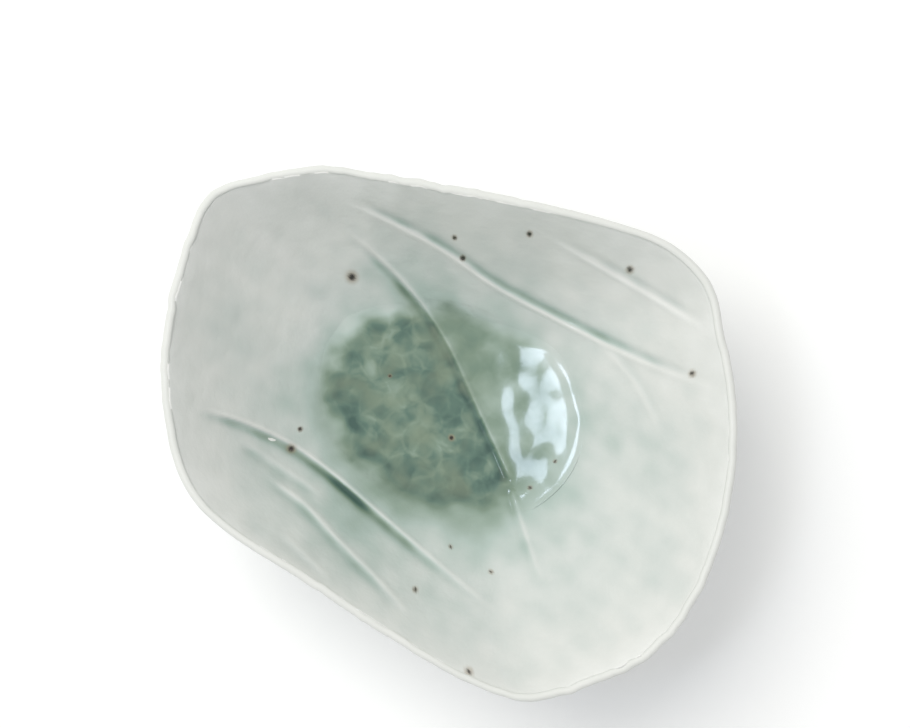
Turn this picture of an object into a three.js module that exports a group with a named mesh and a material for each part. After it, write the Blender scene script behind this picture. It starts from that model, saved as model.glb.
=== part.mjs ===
// A hand-built open bowl of porcelain under a pale blue-green celadon glaze, standing on its foot.
// Units are millimetres, +Z is up, and the origin is the middle of the bottom of the bounding box.
// Seen from above, +X is to the right and +Y is up.

import * as THREE from 'three';

// The rim: its longest side from above, its highest point, and how far its edge rises and falls.
const rimLength = 140;
const rimHeight = 56;
const rimWave = 1.4;

// The lip is a rounded bead of bare body, and the inner coat stops just inside it.
const lipRadius = 1.1;
const clearance = 0.3;
const lipInset = 2 * lipRadius + clearance + 0.1;

// Heights and thicknesses, measured from the table or across the wall.
const floorHeight = 12;
const dishRise = 3;
const wallPower = 1.6;
const floorThickness = 5.3;
const coatThickness = 0.8;
const poolDepth = 2.6;
const poolEdge = 0.15;

// The foot ring, at the ground and where it meets the wall.
const footRadius = 24.5;
const footWidth = 4.6;
const footFlare = 1.6;
const footEdge = 0.7;

// The bare band between the foot and the outer coat, how far its line wanders, and the coat's thick last roll.
const bareBand = 5;
const glazeLineWave = 1.5;
const glazeRoll = 0.5;

// How finely the surfaces are cut.
const stations = 80;
const ringSpacing = 5.6;
const creaseSpacing = 3.6;
const leastSpacing = 1.7;

// The outline of the rim from above, going anticlockwise from the right.
const outlineMarks = [
  [69.5, 11.9], [67.1, 24.0], [63.9, 36.4], [55.0, 45.6], [43.1, 50.6], [15.8, 57.5],
  [-16.7, 63.3], [-30.2, 65.1], [-44.2, 63.3], [-58.3, 58.3], [-64.7, 45.2], [-70.0, 18.5],
  [-67.0, -6.2], [-61.6, -16.9], [-52.6, -25.0], [-35.4, -36.0], [-17.1, -48.2], [5.6, -61.2],
  [17.7, -65.1], [29.7, -63.3], [52.0, -52.0], [64.9, -30.4], [70.0, -6.4],
];
const markedLength = 140;
const planScale = rimLength / markedLength;

// The well: the middle of the floor, half its length and width, and how far it is turned.
const wellCentre = [-1.6 * planScale, 6.3 * planScale];
const wellHalfLength = 23 * planScale;
const wellHalfWidth = 16.5 * planScale;
const wellTurn = THREE.MathUtils.degToRad(-22);

// The creases of the inside: a raised ridge along the line and a sunk trough beside it.
// A side of 1 puts the trough on the left of the line as it is listed, and -1 on the right.
const creases = [
  {
    side: 1, ridge: 0.45, trough: 0.95, fadeStart: 0.3, fadeEnd: 0.25,
    line: [[-26.6, 57.1], [-17.2, 53.1], [-2.0, 45.4], [11.6, 36.5], [27.3, 28.2], [51.5, 16.0], [66.8, 10.0]],
  },
  {
    side: 1, ridge: 0.35, trough: 0.6, fadeStart: 0.35, fadeEnd: 0.25,
    line: [[23.9, 48.1], [39.9, 39.4], [52.0, 32.2], [62.9, 24.9]],
  },
  {
    side: -1, ridge: 0.5, trough: 0.8, fadeStart: 0.2, fadeEnd: 0.12,
    line: [[-26.4, 51.0], [-18.5, 44.6], [-8.0, 33.7], [-0.7, 23.0], [6.8, 7.1], [13.7, -7.8], [16.2, -13.7]],
  },
  {
    side: -1, ridge: 0.25, trough: 0.4, fadeStart: 0.25, fadeEnd: 0.5,
    line: [[15.8, -14.6], [20.0, -27.6], [23.6, -37.7]],
  },
  {
    side: -1, ridge: 0.5, trough: 1.05, fadeStart: 0.25, fadeEnd: 0.35,
    line: [[-62.0, 5.3], [-50.9, 0.7], [-40.0, -5.4], [-28.5, -13.8], [-16.7, -23.4], [-4.0, -33.4], [13.3, -46.3]],
  },
  {
    side: -1, ridge: 0.35, trough: 0.5, fadeStart: 0.2, fadeEnd: 0.3,
    line: [[-46.1, -10.8], [-36.6, -17.6], [-26.8, -27.4], [-17.2, -36.6], [-9.0, -45.1]],
  },
];
const ridgeWidth = 1.1;
const troughOffset = 2.2;
const troughWidth = 1.5;
const shelfShare = 0.35;
const shelfLength = 8;

const linePoints = 48;
const traced = creases.map((crease) => ({ ...crease, path: tracePath(crease.line, false, linePoints) }));
const rim = traceRim();

// Points along a smooth curve through the marks, open or closed, in millimetres.
function tracePath(marks, closed, count) {
  const knots = marks.map(([x, y]) => new THREE.Vector3(x * planScale, y * planScale, 0));
  const curve = new THREE.CatmullRomCurve3(knots, closed, 'centripetal');
  return curve.getPoints(count);
}

// The rim as a list of angle and radius about the well's centre, in order of angle.
function traceRim() {
  const points = tracePath(outlineMarks, true, 720);
  points.pop();
  const polar = points.map((point) => {
    const across = point.x - wellCentre[0];
    const along = point.y - wellCentre[1];
    return [wrapAngle(Math.atan2(along, across)), Math.hypot(across, along)];
  });
  polar.sort((first, second) => first[0] - second[0]);
  return polar;
}

// The same angle between zero and one full turn.
function wrapAngle(angle) {
  const turn = 2 * Math.PI;
  return ((angle % turn) + turn) % turn;
}

// A smooth step from 0 at the first value to 1 at the second.
function smoothStep(low, high, value) {
  const share = Math.min(1, Math.max(0, (value - low) / (high - low)));
  return share * share * (3 - 2 * share);
}

// How far the rim reaches from the well's centre in one direction.
function rimRadius(angle) {
  const wanted = wrapAngle(angle);
  let low = 0;
  let high = rim.length;
  while (low < high) {
    const middle = (low + high) >> 1;
    if (rim[middle][0] < wanted) {
      low = middle + 1;
    } else {
      high = middle;
    }
  }
  const after = rim[low % rim.length];
  const before = rim[(low + rim.length - 1) % rim.length];
  const span = wrapAngle(after[0] - before[0]);
  const share = wrapAngle(wanted - before[0]) / span;
  return before[1] + (after[1] - before[1]) * share;
}

// Where the inner coat stops, just inside the lip.
function coatRadius(angle) {
  return rimRadius(angle) - lipInset;
}

// The height of the lip's crest: two long waves round the rim that touch the rim height.
function lipHeight(angle) {
  const wave = 0.6 * Math.cos(2 * angle - 1.2) + 0.4 * Math.cos(3 * angle + 1.9);
  return rimHeight - rimWave * (1 - wave) / 2;
}

// The well's oval edge, where the floor turns up into the wall.
function wellRadius(angle) {
  const turned = angle - wellTurn;
  return 1 / Math.hypot(Math.cos(turned) / wellHalfLength, Math.sin(turned) / wellHalfWidth);
}

// The height of the inside without its creases: a shallow dish, then a wall that steepens upwards.
function wallHeight(x, y) {
  const across = x - wellCentre[0];
  const along = y - wellCentre[1];
  const angle = Math.atan2(along, across);
  const radius = Math.hypot(across, along);
  const edge = coatRadius(angle);
  const well = wellRadius(angle);
  const climb = Math.max(0, (radius - well) / (edge - well));
  const top = lipHeight(angle) - 1.3 * lipRadius;
  const rise = top - floorHeight - dishRise;
  return floorHeight + dishRise * (radius / edge) ** 2 + rise * climb ** wallPower;
}

// How much longer a straight-down cut through the wall is than a cut square to it.
function slant(x, y) {
  const reach = 0.5;
  const slopeX = (wallHeight(x + reach, y) - wallHeight(x - reach, y)) / (2 * reach);
  const slopeY = (wallHeight(x, y + reach) - wallHeight(x, y - reach)) / (2 * reach);
  return Math.hypot(1, slopeX, slopeY);
}

// The nearest place on a traced line: the distance with its sign, left positive, and the share along it.
function placeOnLine(path, x, y) {
  let best = { distance: Infinity, signed: 0, share: 0 };
  for (let index = 0; index + 1 < path.length; index += 1) {
    const start = path[index];
    const stepX = path[index + 1].x - start.x;
    const stepY = path[index + 1].y - start.y;
    const square = stepX * stepX + stepY * stepY;
    const along = ((x - start.x) * stepX + (y - start.y) * stepY) / square;
    const held = Math.min(1, Math.max(0, along));
    const distance = Math.hypot(x - start.x - stepX * held, y - start.y - stepY * held);
    if (distance < best.distance) {
      const left = stepX * (y - start.y) - stepY * (x - start.x);
      best = { distance, signed: left < 0 ? -distance : distance, share: (index + held) / (path.length - 1) };
    }
  }
  return best;
}

// How far the creases lift or sink the inside at one place.
function creaseHeight(x, y) {
  let total = 0;
  for (const crease of traced) {
    const place = placeOnLine(crease.path, x, y);
    const fade = smoothStep(0, crease.fadeStart, place.share) * smoothStep(0, crease.fadeEnd, 1 - place.share);
    const across = place.signed * crease.side;
    const ridge = crease.ridge * Math.exp(-((across / ridgeWidth) ** 2));
    const trough = crease.trough * Math.exp(-(((across - troughOffset) / troughWidth) ** 2));
    const past = Math.max(0, across - troughOffset);
    const shelf = shelfShare * crease.trough * smoothStep(0, troughOffset, across) * Math.exp(-past / shelfLength);
    total += fade * (ridge - trough - shelf);
  }
  return total;
}

// The height of the inner coat's upper surface.
function coatTop(x, y) {
  return wallHeight(x, y) + creaseHeight(x, y);
}

// The height of the inner coat's lower surface.
function coatBottom(x, y) {
  return coatTop(x, y) - coatThickness * slant(x, y);
}

// The height of the body's inner surface, one clearance below the coat.
function bodyTop(x, y) {
  return coatTop(x, y) - (coatThickness + clearance) * slant(x, y);
}

// The pooled glass: it rests one clearance above the coat and its surface follows the creases softly.
function poolBottom(x, y) {
  return coatTop(x, y) + clearance * slant(x, y);
}

function poolTop(x, y) {
  const level = floorHeight + poolDepth + 0.8 * creaseHeight(x, y);
  return Math.max(level, poolBottom(x, y) + poolEdge);
}

// The shore of the pool in one direction: where its level meets the wall.
function shoreRadius(angle) {
  let low = 0;
  let high = coatRadius(angle);
  for (let round = 0; round < 30; round += 1) {
    const middle = (low + high) / 2;
    const [x, y] = planPoint(angle, middle);
    if (wallHeight(x, y) + clearance * slant(x, y) < floorHeight + poolDepth) {
      low = middle;
    } else {
      high = middle;
    }
  }
  return low;
}

// A place seen from above, from its angle and distance about the well's centre.
function planPoint(angle, radius) {
  return [wellCentre[0] + radius * Math.cos(angle), wellCentre[1] + radius * Math.sin(angle)];
}

// The angle of one station round the bowl.
function stationAngle(index) {
  return (2 * Math.PI * index) / stations;
}

// A point of the body's outer surface in one meridian, from its share of the way to the rim.
function outerPoint(angle, share, lift) {
  const edge = coatRadius(angle);
  const radius = edge * share;
  const reach = 0.5;
  const [x, y] = planPoint(angle, radius);
  const [farX, farY] = planPoint(angle, radius + reach);
  const [nearX, nearY] = planPoint(angle, radius - reach);
  const slope = radius > reach ? (wallHeight(farX, farY) - wallHeight(nearX, nearY)) / (2 * reach) : 0;
  const thickness = 2 * lipRadius + (floorThickness - 2 * lipRadius) * (1 - share) + lift;
  const length = Math.hypot(1, slope);
  return [radius + (thickness * slope) / length, wallHeight(x, y) - thickness / length];
}

// The height of the body's outer surface above one place of the foot.
function undersideHeight(angle, radius) {
  let low = 0;
  let high = 1;
  for (let round = 0; round < 30; round += 1) {
    const middle = (low + high) / 2;
    if (outerPoint(angle, middle, 0)[0] < radius) {
      low = middle;
    } else {
      high = middle;
    }
  }
  return outerPoint(angle, low, 0)[1];
}

// The places where the inside is cut: rim, shore, creases, then rings that fill the rest.
function planPoints() {
  const points = [];
  const keep = (x, y, spacing) => {
    const angle = Math.atan2(y - wellCentre[1], x - wellCentre[0]);
    const radius = Math.hypot(x - wellCentre[0], y - wellCentre[1]);
    const inside = radius < coatRadius(angle) - leastSpacing;
    if (inside && points.every((point) => Math.hypot(point[0] - x, point[1] - y) > spacing)) {
      points.push([x, y]);
    }
  };
  for (let index = 0; index < stations; index += 1) {
    points.push(planPoint(stationAngle(index), coatRadius(stationAngle(index))));
  }
  for (let index = 0; index < stations / 2; index += 1) {
    points.push(planPoint(stationAngle(2 * index), shoreRadius(stationAngle(2 * index))));
  }
  for (const offset of [0, troughOffset, -troughOffset, 2.5 * troughOffset]) {
    for (const crease of traced) {
      addLine(crease, offset, keep);
    }
  }
  const longest = Math.max(...rim.map((pair) => pair[1])) - lipInset;
  const rings = Math.round(longest / ringSpacing);
  for (let ring = 1; ring < rings; ring += 1) {
    const around = Math.round((2 * Math.PI * longest * ring) / rings / ringSpacing);
    for (let index = 0; index < around; index += 1) {
      const wobble = 0.15 * Math.sin(12.9 * (index + 7.3 * ring));
      const angle = (2 * Math.PI * (index + 0.5 * (ring % 2) + wobble)) / around;
      const [x, y] = planPoint(angle, (coatRadius(angle) * ring) / rings);
      keep(x, y, 0.6 * ringSpacing);
    }
  }
  keep(wellCentre[0], wellCentre[1], 0.6 * ringSpacing);
  return points;
}

// Places along a crease, moved sideways towards its trough by the offset.
function addLine(crease, offset, keep) {
  const { path } = crease;
  let walked = creaseSpacing;
  for (let index = 1; index < path.length; index += 1) {
    const stepX = path[index].x - path[index - 1].x;
    const stepY = path[index].y - path[index - 1].y;
    const length = Math.hypot(stepX, stepY);
    walked += length;
    if (walked >= creaseSpacing) {
      const side = (offset * crease.side) / length;
      keep(path[index].x - stepY * side, path[index].y + stepX * side, leastSpacing);
      walked = 0;
    }
  }
}

// Twice the signed area of a triangle seen from above, positive when it runs anticlockwise.
function turnOf(first, second, third) {
  return (second[0] - first[0]) * (third[1] - first[1]) - (second[1] - first[1]) * (third[0] - first[0]);
}

// The circle through three points: its centre and the square of its radius.
function circleThrough(first, second, third) {
  const area = 2 * turnOf(first, second, third);
  const a = second[0] - first[0];
  const b = second[1] - first[1];
  const c = third[0] - first[0];
  const d = third[1] - first[1];
  const near = a * a + b * b;
  const far = c * c + d * d;
  const x = (d * near - b * far) / area;
  const y = (a * far - c * near) / area;
  return { x: first[0] + x, y: first[1] + y, square: x * x + y * y };
}

// Joins the points into the triangles whose circles hold no other point, adding one point at a time.
function joinPoints(points) {
  const reach = 20 * rimLength;
  const all = [...points, [-reach, -reach], [reach, -reach], [0, reach]];
  const count = points.length;
  const makeTriangle = (corners) => ({ corners, circle: circleThrough(...corners.map((corner) => all[corner])) });
  let triangles = [makeTriangle([count, count + 1, count + 2])];
  for (let index = 0; index < count; index += 1) {
    const [x, y] = all[index];
    const hit = ({ circle }) => (x - circle.x) ** 2 + (y - circle.y) ** 2 < circle.square;
    const open = new Map();
    for (const triangle of triangles.filter(hit)) {
      for (let side = 0; side < 3; side += 1) {
        const from = triangle.corners[side];
        const to = triangle.corners[(side + 1) % 3];
        if (!open.delete(`${to} ${from}`)) {
          open.set(`${from} ${to}`, [from, to]);
        }
      }
    }
    triangles = triangles.filter((triangle) => !hit(triangle));
    for (const [from, to] of open.values()) {
      triangles.push(makeTriangle([from, to, index]));
    }
  }
  return triangles.map((triangle) => triangle.corners).filter((corners) => corners.every((corner) => corner < count));
}

// The middle of a triangle as an angle and a distance about the well's centre.
function middleOf(points, corners) {
  const x = corners.reduce((sum, corner) => sum + points[corner][0], 0) / 3 - wellCentre[0];
  const y = corners.reduce((sum, corner) => sum + points[corner][1], 0) / 3 - wellCentre[1];
  return { angle: Math.atan2(y, x), radius: Math.hypot(x, y) };
}

// The edges that belong to one triangle only, each running with the inside on its left.
function openEdges(triangles) {
  const edges = new Map();
  for (const corners of triangles) {
    for (let side = 0; side < 3; side += 1) {
      const from = corners[side];
      const to = corners[(side + 1) % 3];
      if (!edges.delete(`${to} ${from}`)) {
        edges.set(`${from} ${to}`, [from, to]);
      }
    }
  }
  return [...edges.values()];
}

// A geometry from corner positions and triangles, leaving out the corners that none of them uses.
function makeGeometry(corners, triangles) {
  const used = new Map();
  const positions = [];
  const index = triangles.flat().map((corner) => {
    if (!used.has(corner)) {
      used.set(corner, used.size);
      positions.push(...corners[corner]);
    }
    return used.get(corner);
  });
  const geometry = new THREE.BufferGeometry();
  geometry.setAttribute('position', new THREE.Float32BufferAttribute(positions, 3));
  geometry.setIndex(index);
  geometry.computeVertexNormals();
  return geometry;
}

// A closed layer between two heights over the same triangles.
function layerGeometry(points, triangles, top, bottom) {
  const count = points.length;
  const corners = points.map(([x, y]) => [x, y, top(x, y)]);
  corners.push(...points.map(([x, y]) => [x, y, bottom(x, y)]));
  const faces = [...triangles];
  for (const [first, second, third] of triangles) {
    faces.push([count + third, count + second, count + first]);
  }
  for (const [from, to] of openEdges(triangles)) {
    faces.push([count + from, count + to, to]);
    faces.push([count + from, to, from]);
  }
  return makeGeometry(corners, faces);
}

// Quads between two rings of corners that both start at the first station.
function addBand(faces, near, far) {
  for (let index = 0; index < stations; index += 1) {
    const next = (index + 1) % stations;
    faces.push([near + index, far + index, far + next]);
    faces.push([near + index, far + next, near + next]);
  }
}

// A ring whose cross-section at each station is a closed line of radius and height, listed clockwise.
function ringGeometry(sectionAt) {
  const sections = [];
  for (let index = 0; index < stations; index += 1) {
    sections.push(sectionAt(stationAngle(index)));
  }
  const corners = [];
  const faces = [];
  const count = sections[0].length;
  for (let place = 0; place < count; place += 1) {
    sections.forEach((section, index) => {
      const [radius, height] = section[place];
      corners.push([...planPoint(stationAngle(index), radius), height]);
    });
    addBand(faces, place * stations, ((place + 1) % count) * stations);
  }
  return makeGeometry(corners, faces);
}

// The rounded lip and the outer wall of the body in one meridian, from the coat's edge outwards and down.
function outsideSection(angle) {
  const rimEdge = rimRadius(angle);
  const crest = lipHeight(angle);
  const [startX, startY] = planPoint(angle, coatRadius(angle));
  const section = [[coatRadius(angle) + clearance + 0.05, bodyTop(startX, startY) + clearance]];
  for (const degrees of [150, 115, 80, 40, 0, -32]) {
    const turn = THREE.MathUtils.degToRad(degrees);
    section.push([
      rimEdge - lipRadius + lipRadius * Math.cos(turn),
      crest - lipRadius + lipRadius * Math.sin(turn),
    ]);
  }
  for (const share of [0.97, 0.9, 0.82, 0.73, 0.64, 0.55, 0.47, 0.4, 0.34, 0.27, 0.14]) {
    section.push(outerPoint(angle, share, 0));
  }
  return section;
}

// The body: the creased inside, the lip, the outer wall and the flat underside in one closed skin.
function bodyGeometry(points, triangles) {
  const corners = points.map(([x, y]) => [x, y, bodyTop(x, y)]);
  const faces = [...triangles];
  const sections = [];
  for (let index = 0; index < stations; index += 1) {
    sections.push(outsideSection(stationAngle(index)));
  }
  let last = 0;
  for (let place = 0; place < sections[0].length; place += 1) {
    const ring = corners.length;
    sections.forEach((section, index) => {
      const [radius, height] = section[place];
      corners.push([...planPoint(stationAngle(index), radius), height]);
    });
    addBand(faces, last, ring);
    last = ring;
  }
  const centre = corners.length;
  corners.push([...wellCentre, floorHeight - floorThickness]);
  for (let index = 0; index < stations; index += 1) {
    faces.push([last + index, centre, last + ((index + 1) % stations)]);
  }
  return makeGeometry(corners, faces);
}

// The outer coat in one meridian: up along the body, then down its own face to the roll above the foot.
function outerCoatSection(angle) {
  const footEdgeRadius = footRadius * footOval(angle) + footFlare;
  const start = footEdgeRadius + bareBand + glazeLineWave * Math.sin(3 * angle + 0.7);
  const low = start / coatRadius(angle);
  const high = 0.965;
  const steps = 8;
  const inner = [];
  const outer = [];
  for (let step = 0; step <= steps; step += 1) {
    const share = low + ((high - low) * step) / steps;
    const roll = glazeRoll * Math.exp(-(step * step) / 2);
    const taper = step === 0 || step === steps ? 0.55 : 1;
    inner.push(outerPoint(angle, share, clearance));
    outer.unshift(outerPoint(angle, share, clearance + (coatThickness + roll) * taper));
  }
  return [...inner, ...outer];
}

// How far the foot is from round: a little longer along the well than across it.
function footOval(angle) {
  return 1 + 0.025 * Math.cos(2 * (angle - wellTurn));
}

// The foot ring in one meridian: its top follows the underside of the body, its bottom is flat.
function footSection(angle) {
  const outside = footRadius * footOval(angle);
  const inside = outside - footWidth;
  const topOutside = outside + footFlare;
  const topInside = inside - 0.5 * footFlare;
  const middle = (topInside + topOutside) / 2;
  return [
    [topInside, undersideHeight(angle, topInside) - clearance],
    [middle, undersideHeight(angle, middle) - clearance],
    [topOutside, undersideHeight(angle, topOutside) - clearance],
    [outside + 0.25 * footFlare, 2.6 * footEdge],
    [outside, footEdge],
    [outside - footEdge, 0],
    [inside + footEdge, 0],
    [inside, footEdge],
  ];
}

// The materials: bare porcelain, the celadon coat inside and out, the pooled glass and the bare foot.
function makeMaterials() {
  const glass = { metalness: 0, flatShading: false };
  return {
    porcelain: new THREE.MeshStandardMaterial({ ...glass, color: '#e6e8e4', roughness: 0.35 }),
    innerCoat: new THREE.MeshStandardMaterial({ ...glass, color: '#ccd3cd', roughness: 0.14 }),
    outerCoat: new THREE.MeshStandardMaterial({ ...glass, color: '#d2d8d3', roughness: 0.16 }),
    pool: new THREE.MeshStandardMaterial({ ...glass, color: '#8c9e91', roughness: 0.08 }),
    foot: new THREE.MeshStandardMaterial({ ...glass, color: '#d9d3c7', roughness: 0.75 }),
  };
}

// All the pieces in one group, moved so that the origin lies under the middle of the rim.
function makeBowl() {
  const points = planPoints();
  const joined = joinPoints(points);
  const inside = joined.filter((corners) => {
    const { angle, radius } = middleOf(points, corners);
    return radius < coatRadius(angle);
  });
  const pooled = inside.filter((corners) => {
    const { angle, radius } = middleOf(points, corners);
    return radius < shoreRadius(angle);
  });
  const paint = makeMaterials();
  const pieces = {
    bowl_body: [bodyGeometry(points, inside), paint.porcelain],
    foot_ring: [ringGeometry(footSection), paint.foot],
    inner_glaze: [layerGeometry(points, inside, coatTop, coatBottom), paint.innerCoat],
    outer_glaze: [ringGeometry(outerCoatSection), paint.outerCoat],
    glaze_pool: [layerGeometry(points, pooled, poolTop, poolBottom), paint.pool],
  };
  const bounds = new THREE.Box3().setFromBufferAttribute(pieces.bowl_body[0].getAttribute('position'));
  const middle = bounds.getCenter(new THREE.Vector3());
  const group = new THREE.Group();
  group.name = 'bowl';
  for (const [name, [geometry, material]] of Object.entries(pieces)) {
    geometry.translate(-middle.x, -middle.y, 0);
    const mesh = new THREE.Mesh(geometry, material);
    mesh.name = name;
    group.add(mesh);
  }
  return group;
}

export default makeBowl();
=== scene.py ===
"""A hand-built porcelain bowl under pale celadon glaze, seen from straight above on a white table."""
import math

import bpy
import numpy as np
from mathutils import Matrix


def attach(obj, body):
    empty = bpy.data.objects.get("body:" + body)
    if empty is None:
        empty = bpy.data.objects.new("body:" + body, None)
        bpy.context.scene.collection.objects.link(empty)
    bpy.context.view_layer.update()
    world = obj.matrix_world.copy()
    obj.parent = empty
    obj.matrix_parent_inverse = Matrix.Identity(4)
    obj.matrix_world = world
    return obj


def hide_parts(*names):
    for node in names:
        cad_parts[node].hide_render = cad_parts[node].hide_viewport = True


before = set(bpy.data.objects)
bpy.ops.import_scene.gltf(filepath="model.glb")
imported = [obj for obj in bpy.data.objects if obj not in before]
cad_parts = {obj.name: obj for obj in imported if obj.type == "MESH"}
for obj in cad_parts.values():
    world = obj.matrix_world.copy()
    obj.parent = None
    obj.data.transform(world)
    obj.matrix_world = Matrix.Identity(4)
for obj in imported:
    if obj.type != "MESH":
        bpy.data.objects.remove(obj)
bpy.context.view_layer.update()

MM = 0.001

# The bowl's driving sizes in millimetres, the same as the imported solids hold.
RIM_HEIGHT = 56.0
RIM_WAVE = 1.4
LIP_RADIUS = 1.1
CLEARANCE = 0.3
LIP_SPARE = 0.1
LIP_INSET = 2 * LIP_RADIUS + CLEARANCE + LIP_SPARE
LIP_DROP = 1.3 * LIP_RADIUS
FLOOR_HEIGHT = 12.0
DISH_RISE = 3.0
WALL_POWER = 1.6
FLOOR_THICKNESS = 5.3
COAT = 0.8
POOL_DEPTH = 2.6
FOOT_RADIUS = 24.5
FOOT_WIDTH = 4.6
FOOT_FLARE = 1.6
FOOT_EDGE = 0.7
BARE_BAND = 5.0
GLAZE_LINE_WAVE = 1.5
GLAZE_ROLL = 0.5
WELL_CENTRE = (-1.6, 6.3)
WELL_HALF = (23.0, 16.5)
WELL_TURN = math.radians(-22)

# What only the looks have, in millimetres: where the inner coat stops inside the rim, the pool's dished
# surface with its climb on the right, how softly it meets the wall, and how far layers overlap unseen.
COAT_END = 1.85
COAT_GAP = 0.1
POOL_DISH = 1.2
POOL_DISH_RADIUS = 28.0
POOL_SINK = 0.6
RIGHT_SLOPE = 0.12
RIGHT_START = 12.0
RIGHT_EASE = 4.0
POOL_BLEND = 1.0
POOL_REACH = 14.5
POOL_EDGE_START = 0.86
POOL_EDGE_SINK = 0.25
POOL_EDGE_BURIED = 0.3
POOL_BED = 0.45
OVERLAP = 0.05
OUTER_LIFT = 0.02
OUTER_COAT = COAT + 0.2
OUTER_LENGTH = 40.0
OUTER_TOP_SHARE = 0.985
FOOT_OVAL = 0.025

# The soft waves that the maker's fingers left, long and short: height and length, and where they fade in.
LONG_WAVE = 0.22
LONG_WAVE_LENGTH = 22.0
SHORT_WAVE = 0.07
SHORT_WAVE_LENGTH = 7.0
WAVES_START = 10
WAVES_FULL = 40

# How far on each side of a point a slope is measured.
SLOPE_STEP = 0.5

# How finely the pieces are cut: columns round the bowl, rows from the middle outwards, and the lip's turn in
# degrees. Sheets start at a small share of the way out, where a cap closes them.
INNER_COLUMNS = 560
INNER_ROWS = 160
POOL_COLUMNS = 440
POOL_ROWS = 110
BODY_COLUMNS = 384
BODY_INNER_ROWS = 90
BODY_LIP_ROWS = 18
LIP_FROM = 165
LIP_TO = -32
BODY_OUTER_ROWS = 70
OUTER_COAT_ROWS = 60
FOOT_COLUMNS = 256
HIDDEN_ROWS = 9
POOL_HIDDEN_ROWS = 24
MIDDLE_SHARE = 0.05

# The rim from above, anticlockwise from the right.
OUTLINE = [
    (69.5, 11.9), (67.1, 24.0), (63.9, 36.4), (55.0, 45.6), (43.1, 50.6), (15.8, 57.5),
    (-16.7, 63.3), (-30.2, 65.1), (-44.2, 63.3), (-58.3, 58.3), (-64.7, 45.2), (-70.0, 18.5),
    (-67.0, -6.2), (-61.6, -16.9), (-52.6, -25.0), (-35.4, -36.0), (-17.1, -48.2), (5.6, -61.2),
    (17.7, -65.1), (29.7, -63.3), (52.0, -52.0), (64.9, -30.4), (70.0, -6.4),
]

# Creases: side of the trough (1 is left of the line), heights of ridge and trough, how much glaze stands
# in the trough, how quickly the trough fades in and out, and the line itself.
CREASES = [
    (1, 0.34, 0.62, 0.55, 0.25, 0.3,
     [(-26.6, 57.1), (-17.2, 53.1), (-2.0, 45.4), (11.6, 36.5), (27.3, 28.2), (51.5, 16.0), (66.8, 10.0)]),
    (1, 0.30, 0.36, 0.5, 0.35, 0.25,
     [(23.9, 48.1), (39.9, 39.4), (52.0, 32.2), (62.9, 24.9)]),
    (-1, 0.38, 0.42, 0.7, 0.3, 0.05,
     [(-26.4, 51.0), (-18.5, 44.6), (-8.0, 33.7), (-0.7, 23.0), (6.8, 7.1), (13.7, -7.8), (16.2, -13.7)]),
    (-1, 0.22, 0.30, 0.4, 0.2, 0.5,
     [(15.8, -14.6), (20.0, -27.6), (23.6, -37.7)]),
    (-1, 0.36, 0.70, 0.55, 0.12, 0.35,
     [(-62.0, 6.5), (-50.9, 2.4), (-40.0, -3.4), (-28.5, -11.8), (-16.7, -21.8), (-4.0, -32.4),
      (13.3, -46.3)]),
    (-1, 0.28, 0.34, 0.5, 0.2, 0.3,
     [(-46.1, -10.8), (-36.6, -17.6), (-26.8, -27.4), (-17.2, -36.6), (-9.0, -45.1)]),
    (-1, 0.08, 0.25, 0.5, 0.2, 0.2,
     [(-52.2, -1.6), (-42.6, -8.5), (-32.1, -15.9)]),
    (-1, 0.10, 0.18, 0.5, 0.3, 0.3,
     [(-40.6, -24.7), (-28.5, -35.4)]),
    (1, 0.12, 0.14, 0.3, 0.3, 0.3,
     [(35.9, 24.3), (46.2, 12.6), (53.4, -1.7)]),
]

# A crease's section in millimetres: the ridge, the trough beside it and the sunk shelf beyond. The ridge
# fades in and out over a share of the line. The crease with this number in the list runs through the pool.
RIDGE_WIDTH = 0.6
TROUGH_OFFSET = 1.5
TROUGH_WIDTH = 1.0
SHELF_SHARE = 0.4
SHELF_LENGTH = 7.0
RIDGE_FADE = 0.08
POOL_CREASE = 2

# The darkest stretch of glaze in the long left crease: its place, its reach, and how much deeper it looks.
STAIN_PLACE = (-26.0, -14.5)
STAIN_REACH = 7.0
STAIN_MORE = 1.8

# How deep the glaze looks, from 0 for none to 1 for the darkest, and how far changes reach in millimetres.
WALL_DEPTH = 0.17
# Painted light: how much paler the upper wall is painted, as if lit more brightly.
PAINTED_LIGHT_UPPER_WALL = 0.07
# Painted reflection: how much bluer the lower right wall is painted, a painted sheen of the window's light.
PAINTED_SHEEN_LOWER_RIGHT = 0.03
LIP_LESS = 0.14
LIP_REACH = 2.2
HALO_DEPTH = 0.355
HALO_REACH = 14.0
WELL_DEPTH = 0.14
WELL_LEFT_MORE = 0.13
SHORE_REACH = 7.5
SHORE_BAND_DEPTH = 0.24
TROUGH_DEPTH = 0.42

# What stands along a crease: in its trough, on its shelf, what ran off its ridge, and how patchy it is.
DIP_SHARE = 1.3
SHELF_DEPTH_SHARE = 0.8
RIDGE_LESS = 0.8
PATCHY_SHARE = 0.35

# Iron specks in the glaze: place from above, radius of the dark core and of the rusty halo.
SPECKS = [
    (-24.8, 39.1, 1.0, 2.4), (3.5, 43.6, 0.7, 1.2), (-40.2, -4.7, 0.8, 1.9), (0.6, -2.2, 0.6, 1.3),
    (19.9, 48.9, 0.6, 1.2), (44.8, 40.2, 0.7, 1.5), (1.4, 48.4, 0.5, 1.0), (60.0, 14.5, 0.6, 1.3),
    (4.9, -58.1, 0.5, 1.6), (0.4, -29.8, 0.4, 0.8), (10.7, -36.0, 0.4, 0.9), (-8.4, -39.4, 0.5, 1.1),
    (-38.1, 0.2, 0.6, 1.0), (-15.3, 13.8, 0.4, 0.8), (20.9, -15.0, 0.5, 0.9), (27.3, -8.2, 0.4, 0.8),
]

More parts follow.
